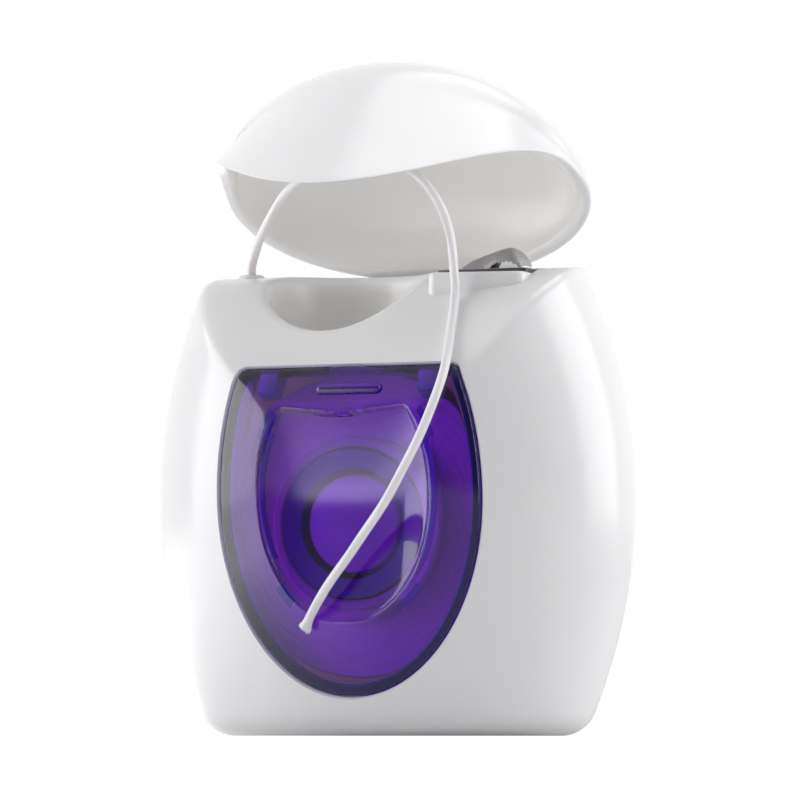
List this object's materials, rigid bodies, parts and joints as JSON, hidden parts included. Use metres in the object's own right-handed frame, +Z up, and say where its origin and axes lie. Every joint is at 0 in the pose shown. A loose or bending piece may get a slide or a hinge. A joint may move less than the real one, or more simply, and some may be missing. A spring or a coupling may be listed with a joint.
{
  "type": "dental floss dispenser",
  "caption": "Flip-top dental floss dispenser: rounded white case, hinged hood lid, tinted window over a spool, thumb scoop, steel cutter and a pulled-out floss strand.",
  "frame": {"origin": "middle of the flat base, on the surface that the dispenser stands on", "axes": "+Z up, +X to the right seen from the window side, +Y towards the back, where the hinge is"},
  "size_m": [0.05, 0.031, 0.067],
  "materials": {
    "white_plastic": "glossy moulded",
    "tinted_plastic": "clear tinted moulded",
    "spool_plastic": "moulded",
    "floss": "waxed",
    "steel": "stamped"
  },
  "bodies": {
    "case": {"case_body": "white_plastic", "living_hinge": "white_plastic", "window_cover": "tinted_plastic", "floss_feed_run": "floss", "floss_strand": "floss", "cutter_blade": "steel"},
    "lid": {"lid": "white_plastic"},
    "spool": {"bobbin_core": "spool_plastic", "floss_winding": "floss"}
  },
  "joints": [
    {"name": "lid_hinge", "type": "hinge", "parent": "case", "child": "lid", "pos_m": [0, 0.0089, 0.0466], "axis": [1, 0, 0], "range_deg": [-74, 46], "deforming": ["living_hinge", "floss_strand"]},
    {"name": "spool_spin", "type": "hinge", "parent": "case", "child": "spool", "pos_m": [0, 0, 0.0207], "axis": [0, 1, 0], "continuous": true}
  ]
}
